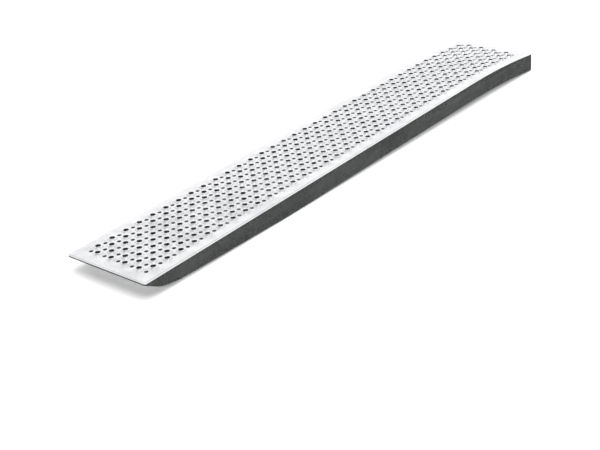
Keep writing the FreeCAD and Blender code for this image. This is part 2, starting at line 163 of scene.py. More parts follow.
END_CENTRE_X = X_END - END_R
END_CENTRE_Z = float(deck_line(DECK_END)[1]) - END_R * math.cos(END_SLOPE)


def quilt(dist, y):
    """The pressed craters draw the sheet up around them and leave it low around the small holes.
    It is strongest in the outer cells and fades out over the plain margins."""
    row = np.clip((dist - FIRST_ROW) / ROW_PITCH, 0, ROWS - 1)
    column = np.clip((FIRST_COLUMN_Y - y) / COLUMN_PITCH, 0, COLUMNS - 1)
    out_x = np.clip(np.maximum(FIRST_ROW - dist, dist - LAST_ROW) / 22.0, 0, 1)
    out_y = np.clip((np.abs(y) - FIRST_COLUMN_Y) / 24.0, 0, 1)
    fade = 0.25 * (1 + np.cos(math.pi * out_x)) * (1 + np.cos(math.pi * out_y))
    ends = np.maximum(1 - smooth(FIRST_ROW, FIRST_ROW + 24, dist),
                      smooth(LAST_ROW - 24, LAST_ROW, dist))
    rim = np.maximum(smooth(58, 82, np.abs(y)), ends)
    return -(0.12 + 0.50 * rim) * np.cos(math.pi * row) * np.cos(math.pi * column) * fade


def lumps(dist, y):
    """Height of the uneven deck: slow waves that die out at the folds, and the quilting."""
    wave = 0.10 * np.sin(dist / 61.0 + 0.6) * np.cos(y / 47.0 + 0.4)
    wave = wave + 0.07 * np.sin(dist / 23.7 + y / 31.0 + 1.9)
    wave = wave + 0.05 * np.cos(dist / 37.0 - y / 19.0)
    wave = wave + 0.13 * np.sin(dist / 190.0 + 2.2)
    lengthwise = smooth(6, 34, dist) * (1 - smooth(DECK_END - 34, DECK_END - 4, dist))
    return wave * lengthwise * (1 - smooth(86, 105, np.abs(y))) + quilt(dist, y)


def side_lumps(dist, height, side):
    """Outward waves of a flange, weaker near its folds and its ends."""
    wave = 0.22 * np.sin(dist / 118.0 + side)
    wave = wave + 0.12 * np.sin(dist / 41.0 + 2.0 * side + height / 25.0)
    wave = wave + 0.06 * np.cos(dist / 17.0 + height / 9.0)
    window = smooth(4, 16, -height) * (1 - smooth(34, 46, -height) * 0.6)
    return wave * window * smooth(20, 90, dist) * (1 - smooth(DECK_END - 60, DECK_END - 6, dist))


def slopes(field, first, second, reach=0.4):
    """Slopes of a height field along its two directions."""
    return ((field(first + reach, second) - field(first - reach, second)) / (2 * reach),
            (field(first, second + reach) - field(first, second - reach)) / (2 * reach))


# ------------------------------------------------------------------ the folded sheet
def rounded_line(points, radii):
    """The two coordinates of a polyline with its inner corners rounded."""
    arcs = [fillet(*points[k:k + 3], radius, steps=12)[0] for k, radius in enumerate(radii)]
    return np.vstack([points[:1], *arcs, points[-1:]]).T


CUT_X, CUT_DEPTH = rounded_line(TAPER, TAPER_R)


def side_rows(x):
    """Columns y, height, normal y, normal height down one side at x, from just past the
    start of the side fold to the free edge."""
    depth = FLANGE_DEPTH
    if x < KNEE_X:
        growth = FLANGE_DEPTH - DEPTH_THERE
        depth = DEPTH_THERE + (x - DEPTH_X) * growth / (KNEE_X - DEPTH_X)
    flat = depth - 2 * BEND_R
    lip = LIP - BEND_R
    full = flat + QUARTER + lip
    cut = float(np.interp(x, CUT_X, CUT_DEPTH)) if x < TAPER_END else math.inf
    if cut < depth - BEND_R:
        reach = cut - BEND_R
    elif cut < depth:
        reach = flat + BEND_R * math.asin((cut - (depth - BEND_R)) / BEND_R)
    else:
        reach = flat + QUARTER + lip * min(1.0, max(0.0, (x - LIP_START) / LIP_GROWTH))
    lengths = [flat * k / FLANGE_STEPS for k in range(1, FLANGE_STEPS + 1)]
    lengths += [flat + QUARTER * k / TURN_STEPS for k in range(1, TURN_STEPS + 1)]
    lengths += [flat + QUARTER + lip * k / LIP_STEPS for k in range(1, LIP_STEPS + 1)]

    rows = []
    for k in range(1, BEND_STEPS + 1):
        turn = math.pi / 2 * k / BEND_STEPS
        rows.append((DECK_Y + BEND_R * math.sin(turn), -BEND_R + BEND_R * math.cos(turn),
                     math.sin(turn), math.cos(turn)))
    for length in lengths:
        down = length / full * reach
        if down <= flat:
            rows.append((HALF_WIDTH, -BEND_R - down, 1.0, 0.0))
        elif down <= flat + QUARTER:
            turn = (down - flat) / BEND_R
            rows.append((DECK_Y + BEND_R * math.cos(turn),
                         -(depth - BEND_R) - BEND_R * math.sin(turn),
                         math.cos(turn), -math.sin(turn)))
        else:
            rows.append((DECK_Y - (down - flat - QUARTER), -depth, 0.0, -1.0))
    return np.array(rows).T


def bend_stations(centre_x, centre_z, radius, turns):
    return [(centre_x + radius * math.cos(turn), centre_z + radius * math.sin(turn),
             math.cos(turn), math.sin(turn), OFF_DECK) for turn in turns]


def plank_stations():
    """Rows (x, z, normal x, normal z, distance) from the foot lip to the top end's low edge,
    and the number of the row where the perforation cells start."""
    foot = [(0.0, -FOOT_LIP + 0.25, -1.0, 0.0, OFF_DECK), (0.0, -BEND_R, -1.0, 0.0, OFF_DECK)]
    foot += bend_stations(BEND_R, -BEND_R, BEND_R,
                          [math.pi - math.pi / 2 * k / 5 for k in range(1, 5)])
    margin = [BEND_R, 7.5, 12.0, 17.0, 22.0]
    cells = FIRST_ROW - ROW_PITCH / 2 + ROW_PITCH * np.arange(ROWS * CELL_STEPS) / CELL_STEPS
    dist = np.concatenate([margin, cells, np.linspace(CELLS_END, DECK_END, 9)])
    deck = np.stack([*deck_line(dist), dist], 1)
    end = bend_stations(END_CENTRE_X, END_CENTRE_Z, END_R,
                        [(math.pi / 2 - END_SLOPE) * (1 - k / 5) for k in range(1, 6)])
    end += [(X_END, z, 1.0, 0.0, OFF_DECK)
            for z in np.linspace(END_CENTRE_Z, Z_LOW + 0.35, 7)[1:]]
    return np.vstack([foot, deck, end]), len(foot) + len(margin)


def outer_skin(stations):
    """Grids of the outer skin: points, normals, tilts of the normals by the unevenness, and
    how much each point is worn as part of a fold, which also stands for a painted highlight on the
    fold."""
    x, z, norm_x, norm_z, dist = (column[:, None] for column in stations.T)
    on_deck = dist > 0
    shape = (len(stations), GRID_COLUMNS)
    points, normals, tilts = np.zeros((3, *shape, 3))
    fold = np.zeros(shape)

    deck = slice(DECK_FIRST, DECK_LAST + 1)
    dists, ys = np.meshgrid(stations[:, 4], COLUMN_Y, indexing="ij")
    lift = lumps(dists, ys) * on_deck
    slope_x, slope_y = (slope * on_deck for slope in slopes(lumps, dists, ys))
    points[:, deck] = np.stack([x + norm_x * lift, ys, z + norm_z * lift], -1)
    normals[:, deck, 0] = norm_x
    normals[:, deck, 2] = norm_z
    tilts[:, deck] = np.stack([-slope_x * norm_z, -slope_y, slope_x * norm_x], -1)
    # the foot and top end folds get a wear tone that is partly a painted highlight
    fold[:, deck] = np.where(on_deck, 0.0, 0.7)

    for i in np.nonzero(on_deck[:, 0])[0]:
        x, z, norm_x, norm_z, dist = stations[i]
        # the flanges' height direction turns upright towards the top end
        upright = float(smooth(CELLS_END, DECK_END, dist))
        up_x = norm_x * (1 - upright)
        up_z = norm_z * (1 - upright) + upright / math.cos(END_SLOPE)
        y, height, out_y, out_h = side_rows(x)
        zero = np.zeros(SIDE_COLUMNS)
        for side in (1, -1):
            away = np.arange(SIDE_COLUMNS)
            columns = DECK_FIRST - 1 - away if side == 1 else DECK_LAST + 1 + away
            wave = side_lumps(dist, height, side) * out_y
            slope_x, slope_h = slopes(lambda a, b: side_lumps(a, b, side), dist, height)
            points[i, columns] = np.stack(
                [x + height * up_x, side * (y + wave), z + height * up_z], 1)
            normals[i, columns] = np.stack([out_h * norm_x, side * out_y, out_h * norm_z], 1)
            tilts[i, columns] = np.stack([-slope_x * out_y, zero, -slope_h * out_y], 1)
            # the side folds get a wear tone that is partly a painted highlight
            fold[i, columns[:BEND_STEPS]] = 0.8
    return points, normals, tilts, fold


class SheetMesh:
    """Collects points with normals and tones (wear with painted highlight, dirt with painted shade,
    underside), and quads.
    """

    def __init__(self):
        self.points, self.normals, self.tones, self.faces = [], [], [], []
        self.count = 0

    def add(self, points, normals, tones):
        first = self.count
        self.count += len(points)
        self.points.append(points)
        self.normals.append(normals)
        self.tones.append(np.broadcast_to(np.asarray(tones, float), (len(points), 3)))
        return np.arange(first, self.count)

    def quads(self, *corners):
        self.faces.append(np.stack(corners, 1))

    def result(self):
        """Points, normals, tones and faces, without the points no face uses."""
        faces = np.concatenate(self.faces)
        used = np.zeros(self.count, bool)
        used[faces.ravel()] = True
        points, normals, tones = (np.concatenate(part)[used]
                                  for part in (self.points, self.normals, self.tones))
        return points, normals, tones, (np.cumsum(used) - 1)[faces]


def free_edge(quads):
    """Grid places around the free edge of the given grid quads, in order."""
    edges = {}
    for i, j in zip(*np.nonzero(quads)):
        ring = [(i, j), (i, j + 1), (i + 1, j + 1), (i + 1, j)]
        for k in range(4):
            start, end = ring[k], ring[(k + 1) % 4]
            if (end, start) in edges:
                del edges[(end, start)]
            else:
                edges[(start, end)] = True
    after = dict(edges.keys())
    loop = [next(iter(after))]
    while after[loop[-1]] != loop[0]:
        loop.append(after[loop[-1]])
    if len(loop) != len(after):
        raise ValueError("the sheet has more than one free edge loop")
    return tuple(np.array(loop).T)


# layers of the edge strip: depth below the outer skin, share of the bulge, tilt of the normal
EDGE_LAYERS = [(0.12, 0.75, 0.55), (0.42, 1.0, 0.12),
               (SHEET - 0.42, 1.0, -0.12), (SHEET - 0.12, 0.75, -0.55)]


def add_edge_strip(sheet, points, normals, top, bottom):
    """A slightly rounded, uneven strip from skin to skin along the free edge."""
    ahead = unit(np.roll(points, -1, 0) - points)
    out = unit(np.cross(ahead, normals + np.roll(normals, -1, 0)))
    out = out + np.roll(out, 1, 0)
    out = unit(out - normals * np.sum(out * normals, 1, keepdims=True))
    step = np.arange(len(points))
    bulge = 0.30 + 0.06 * np.sin(step * 1.7) * np.cos(step * 0.37)
    layers = [top]
    for depth, share, tilt in EDGE_LAYERS:
        layer = points - normals * depth + out * (bulge * share)[:, None]
        # the cut edge gets a full wear tone, partly a painted highlight, and some underside tone
        layers.append(sheet.add(layer, unit(out + normals * tilt), (1.0, 0.0, 0.4)))
    layers.append(bottom)
    for upper, lower in zip(layers, layers[1:]):
        sheet.quads(np.roll(upper, -1), upper, lower, np.roll(lower, -1))


# Hole profiles: (radius, height) points walked inwards on top and outwards underneath.
# The corners' columns are rounding radius, steps, a point halfway to the next corner,
# and the tone (wear, dirt, underside). The wear tone on crater rims is partly a painted highlight;
# the dirt tone at a crater's base and on a small hole's wall is partly painted shade.
CRATER_LINE = [(11.0, 0.0), (9.0, 0.0), (7.0, CRATER_H), (6.0, CRATER_H - 0.45),
               (8.2, -SHEET), (11.0, -SHEET)]
CRATER_CORNERS = [(1.495, 3, True, (0.0, 1.0, 0.0)),
                  (0.42, 3, False, (1.0, 0.0, 0.0)),
                  (0.30, 2, True, (0.9, 0.0, 0.1)),
                  (1.0, 2, False, (0.1, 0.6, 1.0))]
SMALL_LINE = [(7.3, 0.0), (4.5, 0.0), (4.5, -SHEET), (7.3, -SHEET)]
SMALL_CORNERS = [(0.35, 2, False, (0.30, 0.55, 0.0)),
                 (0.25, 2, False, (0.0, 0.9, 1.0))]
SMALL_COLLAR = [(0.0, 0.1, 0.0), (0.0, 0.3, 1.0)]        # tones of its outermost rings


def hole_profile(line, corners, collar=None):
    """Points, normals and tones along a hole's profile. A collar adds the line's two end points,
    so that the sheet around a small hole can curve."""
    arcs = [fillet(*line[k:k + 3], radius, steps)
            for k, (radius, steps, _, _) in enumerate(corners)]
    points, normals, tones = [], [], []
    for k, (_, _, halfway, tone) in enumerate(corners):
        arc, directions = arcs[k]
        points += list(arc)
        normals += list(directions)
        tones += [tone] * len(arc)
        if halfway:
            points.append((arc[-1] + arcs[k + 1][0][0]) / 2)
            normals.append(directions[-1])
            tones.append(np.add(tone, corners[k + 1][3]) / 2)
    points, normals, tones = np.array(points), np.array(normals), np.array(tones)
    # the normals point to the open side of the walked profile, which starts on the flat deck
    walk = np.diff(points, axis=0)
    side = walk[:, 1] * normals[1:, 0] - walk[:, 0] * normals[1:, 1]
    normals[1:][side < 0] *= -1
    normals[0] = (0.0, 1.0)
    if collar:
        points = np.vstack([line[0], points, line[-1]])
        normals = np.vstack([(0.0, 1.0), normals, (0.0, -1.0)])
        tones = np.vstack([collar[0], tones, collar[1]])
    return points, normals, tones


def add_hole(sheet, profile, dist, y, top, bottom, rng):
    """One hole, slightly varied, joined to the cell's border points on both skins."""
    points, normals, tones = profile
    radius, height = points.T[:, :, None]
    out, up = normals.T[:, :, None]
    angle = -math.pi / 4 + 2 * math.pi * np.arange(RING_STEPS) / RING_STEPS
    cosine, sine = np.cos(angle), np.sin(angle)
    stretch = 1 + 0.035 * rng.uniform(-1, 1)
    lean, lean_angle = rng.uniform(0, 0.05), rng.uniform(0, 2 * math.pi)
    shift_x, shift_y = rng.uniform(-0.08, 0.08, 2)

    dists = dist + shift_x + radius * cosine
    ys = y + shift_y + radius * sine
    leaning = np.clip(height, 0, None) * lean / CRATER_H * np.cos(angle - lean_angle)
    lift = np.where(height > 0, height * stretch, height) + leaning + lumps(dists, ys)
    x, z, norm_x, norm_z = deck_line(dists)
    slope_x, slope_y = (slope * up for slope in slopes(lumps, dists, ys))
    ring_points = np.stack([x + norm_x * lift, ys, z + norm_z * lift], -1)
    forward = out * cosine - slope_x
    ring_normals = np.stack([forward * norm_z + up * norm_x, out * sine - slope_y,
                             -forward * norm_x + up * norm_z], -1)
    ids = sheet.add(ring_points.reshape(-1, 3), ring_normals.reshape(-1, 3),
                    np.repeat(tones, RING_STEPS, 0))
    rings = [top, *ids.reshape(-1, RING_STEPS), bottom]
    for ring, following in zip(rings, rings[1:]):
        sheet.quads(ring, np.roll(ring, -1), np.roll(following, -1), following)


def add_holes(sheet, top, bottom, first_cell):
    """Craters and small holes, alternating like a chessboard."""
    crater = hole_profile(CRATER_LINE, CRATER_CORNERS)
    small = hole_profile(SMALL_LINE, SMALL_CORNERS, SMALL_COLLAR)
    full = CELL_STEPS
    border = [(full, full - k) for k in range(full)]
    border += [(full - k, 0) for k in range(full)]
    border += [(0, k) for k in range(full)]
    border += [(k, full) for k in range(full)]
    border_i, border_j = np.array(border).T
    rng = np.random.default_rng(7)
    for row in range(ROWS):
        for column in range(COLUMNS):
            place = (first_cell + row * CELL_STEPS + border_i,
                     CELL_FIRST + column * CELL_STEPS + border_j)
            add_hole(sheet, crater if (column + row) % 2 == 1 else small,
                     FIRST_ROW + row * ROW_PITCH, FIRST_COLUMN_Y - column * COLUMN_PITCH,
                     top[place], bottom[place], rng)


def build_sheet():
    stations, first_cell = plank_stations()
    points, normals, tilts, fold = outer_skin(stations)
    on_deck = stations[:, 4] > 0
    column = np.arange(GRID_COLUMNS)
    # the flanges exist only along the deck, not at the foot and top end folds
    used = on_deck[:, None] | ((column >= DECK_FIRST) & (column <= DECK_LAST))

    sheet = SheetMesh()
    top = np.full(used.shape, -1)
    bottom = np.full(used.shape, -1)
    # wear tone of the folds, partly a painted highlight; the lower skin gets less of it, with some
    # dirt tone that is partly painted shade
    fold_wear_and_highlight = fold[used]
    top[used] = sheet.add(points[used], (normals + tilts)[used], np.outer(fold_wear_and_highlight, (1, 0, 0)))
    bottom[used] = sheet.add((points - SHEET * normals)[used], -(normals + tilts)[used],
                             np.outer(fold_wear_and_highlight, (0.4, 0, 0)) + (0.0, 0.25, 1.0))

    quads = ((on_deck[:-1] & on_deck[1:])[:, None]
             | ((column[:-1] >= DECK_FIRST) & (column[:-1] < DECK_LAST)))
    plain = quads.copy()
    plain[first_cell:first_cell + ROWS * CELL_STEPS,
          CELL_FIRST:CELL_FIRST + COLUMNS * CELL_STEPS] = False
    i, j = np.nonzero(plain)
    sheet.quads(top[i, j], top[i, j + 1], top[i + 1, j + 1], top[i + 1, j])
    sheet.quads(bottom[i, j], bottom[i + 1, j], bottom[i + 1, j + 1], bottom[i, j + 1])

    edge = free_edge(quads)
    add_edge_strip(sheet, points[edge], normals[edge], top[edge], bottom[edge])
    add_holes(sheet, top, bottom, first_cell)

    points, normals, tones, faces = sheet.result()
    return new_object("deck_sheet", to_frame(points), faces, normals,
                      dict(zip(("wear_and_highlight", "dirt_and_shade", "under"), tones.T)))


def new_object(name, points, faces, normals=None, tones=None):
    """A smooth-shaded mesh object, with optional vertex normals and point attributes."""
    mesh = bpy.data.meshes.new(name)
    corners = np.array([i for face in faces for i in face], np.int32)
    sizes = np.array([len(face) for face in faces], np.int32)
    mesh.vertices.add(len(points))
    mesh.vertices.foreach_set("co", np.asarray(points, np.float32).ravel())
    mesh.loops.add(len(corners))
    mesh.loops.foreach_set("vertex_index", corners)
    mesh.polygons.add(len(sizes))
    mesh.polygons.foreach_set("loop_start", (np.cumsum(sizes) - sizes).astype(np.int32))
    mesh.polygons.foreach_set("loop_total", sizes)
    mesh.update(calc_edges=True)
    mesh.validate()
    mesh.polygons.foreach_set("use_smooth", np.ones(len(sizes), bool))
    for key, values in (tones or {}).items():
        attribute = mesh.attributes.new(key, "FLOAT", "POINT")
        attribute.data.foreach_set("value", np.asarray(values, np.float32))
    if normals is not None:
        mesh.normals_split_custom_set_from_vertices(unit(normals).tolist())
    mesh.update()
    ob = bpy.data.objects.new(name, mesh)
    bpy.context.scene.collection.objects.link(ob)
    return ob


# ------------------------------------------------------------------ weld beads, in metres
def islands(node):
    """Vertex clouds of a CAD node's separate solids, in the row frame."""
    mesh = NODES[node].data
    coords = np.zeros(len(mesh.vertices) * 3, np.float32)
    mesh.vertices.foreach_get("co", coords)
    coords = coords.reshape(-1, 3).astype(float)
    places, place_of = np.unique(np.round(coords, 6), axis=0, return_inverse=True)
    place_of = place_of.ravel()
    parent = list(range(len(places)))

    def root(i):
        while parent[i] != i:
            parent[i] = parent[parent[i]]
            i = parent[i]
        return i

    for polygon in mesh.polygons:
        ids = [int(place_of[v]) for v in polygon.vertices]
        for other in ids[1:]:
            root_a, root_b = root(ids[0]), root(other)
            if root_a != root_b:
                parent[root_b] = root_a
    groups = {}
    for i in range(len(places)):
        groups.setdefault(root(i), []).append(i)
    clouds = [places[group] for group in groups.values()]
    clouds.sort(key=lambda cloud: tuple(np.round(cloud.mean(0), 4)))
    return clouds


def oriented(points, faces):
    """Faces turned outwards, by the sign of the enclosed volume."""
    points = points - points.mean(0)
    volume = 0.0
    for face in faces:
        for k in range(1, len(face) - 1):
            cross = np.cross(points[face[k]], points[face[k + 1]])
            volume += float(np.dot(points[face[0]], cross))
    return faces if volume > 0 else [face[::-1] for face in faces]


def joined(name, solids):
    """One object of several (points, faces) solids."""
    all_faces = []
    base = 0
    for points, faces in solids:
        all_faces += [tuple(i + base for i in face) for face in oriented(points, faces)]
        base += len(points)
    return new_object(name, np.concatenate([points for points, _ in solids]), all_faces)


BEAD_STEP = 0.00045              # mesh step along a bead
RIPPLE_PITCH = 0.0021
ARC_POINTS = 9                   # across the bead's face
TRAIL = 0.35                     # how far the ripples trail behind the pool


def bead(cloud, leg_a, leg_b, seed):
    """A rippled fillet bead in one CAD bead's place, with legs along leg_a and leg_b."""
    _, axes = np.linalg.eigh(np.cov((cloud - cloud.mean(0)).T))
    along = axes[:, -1]
    if along[np.argmax(np.abs(along))] < 0:
        along = -along
    leg_a = np.array(leg_a, float)
    leg_a = unit(leg_a - along * (leg_a @ along))
    leg_b = np.array(leg_b, float)
    leg_b = unit(leg_b - along * (leg_b @ along) - leg_a * (leg_b @ leg_a))
    start = (cloud @ along).min()
    length = (cloud @ along).max() - start
    corner_a, corner_b = (cloud @ leg_a).min(), (cloud @ leg_b).min()
    size = max((cloud @ leg_a).max() - corner_a, (cloud @ leg_b).max() - corner_b)
    phase_a, phase_b = np.random.default_rng(seed).uniform(0, 6.28, 2)

    steps = max(24, int(length / BEAD_STEP))
    across = np.linspace(0, 1, ARC_POINTS)       # from leg a to leg b
    bulge = 1 + 0.22 * np.sin(math.pi * across)
    sections = []
    for i in range(steps + 1):
        t = i / steps
        from_end = min(1.0, min(t, 1 - t) * length / (0.9 * size))
        dome = math.sqrt(max(0.0, 1 - (1 - from_end) ** 2)) * 0.85 + 0.15
        phase = ((t * length) / RIPPLE_PITCH + 0.15 * math.sin(t * 9 + phase_a)) % 1.0
        ripple = (1.0 + 0.085 * (1 - (2 * phase - 1) ** 2) - 0.04
                  + 0.03 * math.sin(t * 13 + phase_b))
        size_here = size * dome * ripple
        size_a = size_here * (1 + 0.05 * math.sin(t * 21 + phase_b))
        size_b = size_here * (1 + 0.05 * math.cos(t * 17 + phase_a))
        off_a = np.r_[0.0, size_a * (1 - across) * bulge]
        off_b = np.r_[0.0, size_b * across * bulge]
        sections.append(np.outer(start + t * length - TRAIL * np.minimum(off_a, off_b), along)
                        + np.outer(corner_a + off_a, leg_a) + np.outer(corner_b + off_b, leg_b))

    count = ARC_POINTS + 1
    after = [(k + 1) % count for k in range(count)]
    faces = [(i + k, i + after[k], i + count + after[k], i + count + k)
             for i in range(0, steps * count, count) for k in range(count)]
    last = steps * count
    cap = last + count
    faces += [(after[k], k, cap) for k in range(count)]
    faces += [(last + k, last + after[k], cap + 1) for k in range(count)]
    return np.vstack([*sections, sections[0].mean(0), sections[-1].mean(0)]), faces


def bead_piece(name, node, leg_a, leg_b):
    """Beads for all solids of a node. Without a leg_b it points towards the middle plane."""
    solids = []
    for n, cloud in enumerate(islands(node)):
        inward = (0, -1 if cloud.mean(0)[1] > 0 else 1, 0)
        solids.append(bead(cloud, leg_a, leg_b or inward, seed=11 + n * 7 + len(name)))
    return joined(name, solids)


# ------------------------------------------------------------------ corner seams, in metres
SEAM_OUTER_R = BEND_R * MM - 0.00002
SEAM_INNER_R = SEAM_OUTER_R - SHEET * MM + 0.00008
SEAM_SINK = 0.00006              # the outer face lies this far inside its radius
SEAM_POINTS = 9                  # around the quarter turn
BALL_STEPS = 8
SEAM_RIPPLE, SEAM_RIPPLE_RUN = 0.00007, 0.0017
RIPPLED_HEIGHT = 0.01            # only taller seams are rippled


def corner_seam(cloud, phase):
    """A quarter of a ring with a ball top, and a light cross ripple on a tall one."""
    low, high = cloud.min(0), cloud.max(0)
    out_x, out_y = (1.0 if middle > 0 else -1.0 for middle in ((low + high) / 2)[:2])
    centre_x = high[0] - SEAM_OUTER_R if out_x > 0 else low[0] + SEAM_OUTER_R
    centre_y = high[1] - SEAM_OUTER_R if out_y > 0 else low[1] + SEAM_OUTER_R
    foot_z = low[2]
    centre_z = high[2] - SEAM_OUTER_R
    wall = max(centre_z - foot_z, 0.0)
    steps = max(2, int(wall / 0.0006))
    # (z, angle above the horizontal) up the wall and over the ball
    levels = [(foot_z + wall * k / steps, 0.0) for k in range(steps + 1)]
    levels += [(centre_z, math.pi / 2 * k / BALL_STEPS) for k in range(1, BALL_STEPS)]
    around = math.pi / 2 * np.arange(SEAM_POINTS) / (SEAM_POINTS - 1)

    points = []
    for z, lift in levels:
        ripple = 0.0
        if lift == 0 and wall > RIPPLED_HEIGHT:
            ripple = SEAM_RIPPLE * math.sin((z - foot_z) / SEAM_RIPPLE_RUN * math.pi + phase)
        for radius in (SEAM_OUTER_R + ripple - SEAM_SINK, SEAM_INNER_R):
            flat = radius * math.cos(lift)
            points += [(centre_x + out_x * flat * math.cos(turn),
                        centre_y + out_y * flat * math.sin(turn),
                        z + radius * math.sin(lift)) for turn in around]
    pole = len(points)
    points += [(centre_x, centre_y, centre_z + SEAM_OUTER_R),
               (centre_x, centre_y, centre_z + SEAM_INNER_R)]
    ids = np.arange(pole).reshape(-1, 2, SEAM_POINTS)
    outer, inner = ids[:, 0].tolist(), ids[:, 1].tolist()

    faces = []
    gaps = range(SEAM_POINTS - 1)
    for rings, top, way in ((outer, pole, 1), (inner, pole + 1, -1)):
        for ring, above in zip(rings, rings[1:]):
            faces += [(ring[m], ring[m + 1], above[m + 1], above[m])[::way] for m in gaps]
        faces += [(rings[-1][m], rings[-1][m + 1], top)[::way] for m in gaps]
    faces += [(outer[0][m + 1], outer[0][m], inner[0][m], inner[0][m + 1]) for m in gaps]
    for m, way in ((0, 1), (SEAM_POINTS - 1, -1)):
        rim_out = [ring[m] for ring in outer] + [pole]
        rim_in = [ring[m] for ring in inner] + [pole + 1]
        faces += [(rim_out[k], rim_out[k + 1], rim_in[k + 1], rim_in[k])[::way]
                  for k in range(len(rim_out) - 1)]
    return np.array(points), faces


def corner_piece(name, node):
    return joined(name, [corner_seam(cloud, n) for n, cloud in enumerate(islands(node))])


# ------------------------------------------------------------------ finishes
class Nodes:
    """Short forms for building the node tree of a material or world."""

    def __init__(self, owner):
        owner.use_nodes = True
        self.tree = owner.node_tree
        self.tree.nodes.clear()

    def add(self, kind, inputs=None, **values):
        node = self.tree.nodes.new(kind)
        for key, value in values.items():
            setattr(node, key, value)
        for key, value in (inputs or {}).items():
            self.put(node.inputs[key], value)
        return node

    def put(self, socket, value):
        """Sets a constant, or links an output."""
        if isinstance(value, (int, float, tuple)):
            socket.default_value = value
        else:
            self.tree.links.new(value, socket)

    def math(self, operation, first, second):
        return self.add("ShaderNodeMath", {0: first, 1: second}, operation=operation).outputs[0]

    def times(self, value, factor):
        return self.math("MULTIPLY", value, factor)

    def vary(self, base, pattern, amount):
        """Base plus a pattern's swing around its middle, times an amount."""
        return self.math("ADD", base, self.times(self.math("SUBTRACT", pattern, 0.5), amount))

    def remap(self, value, lo, hi, to_lo=0.0, to_hi=1.0):
        return self.add("ShaderNodeMapRange", {
            "Value": value, "From Min": lo, "From Max": hi, "To Min": to_lo, "To Max": to_hi,
        }, interpolation_type="SMOOTHSTEP").outputs["Result"]

    def mix(self, factor, first, second):
        return self.add("ShaderNodeMix", {"Factor": factor, "A": first, "B": second},
                        data_type="RGBA").outputs["Result"]

    def dot(self, first, second):
        return self.add("ShaderNodeVectorMath", {0: first, 1: second},
                        operation="DOT_PRODUCT").outputs["Value"]

    def coord(self, space):
        return self.add("ShaderNodeTexCoord").outputs[space]

    def split(self, vector):
        return self.add("ShaderNodeSeparateXYZ", {0: vector}).outputs

    def attribute(self, name):
        return self.add("ShaderNodeAttribute", attribute_name=name).outputs["Fac"]

    def noise(self, vector, scale=1.0, detail=3.0, rough=0.5, distort=0.0):
        return self.add("ShaderNodeTexNoise", {
            "Vector": vector, "Scale": scale, "Detail": detail, "Roughness": rough,
            "Distortion": distort}).outputs["Fac"]

    def mapped(self, vector, scale, offset):
        return self.add("ShaderNodeMapping", {
            "Vector": vector, "Scale": scale, "Location": offset}).outputs["Vector"]

    def bump(self, height, strength, distance, **normal):
        return self.add("ShaderNodeBump", {
            "Strength": strength, "Distance": distance, "Height": height, **normal,
        }).outputs["Normal"]

    def output(self, kind, shader):
        self.add(kind, {"Surface": shader})


def edge_wear_and_highlight(net):
    """Wear and painted highlight at edges, by the difference between the true and the rounded
    normal.
    """
    bevel = net.add("ShaderNodeBevel", {"Radius": 0.0012}, samples=4)
    true = net.add("ShaderNodeNewGeometry")
    return net.remap(net.dot(bevel.outputs["Normal"], true.outputs["Normal"]),
                     lo=0.985, hi=0.86)


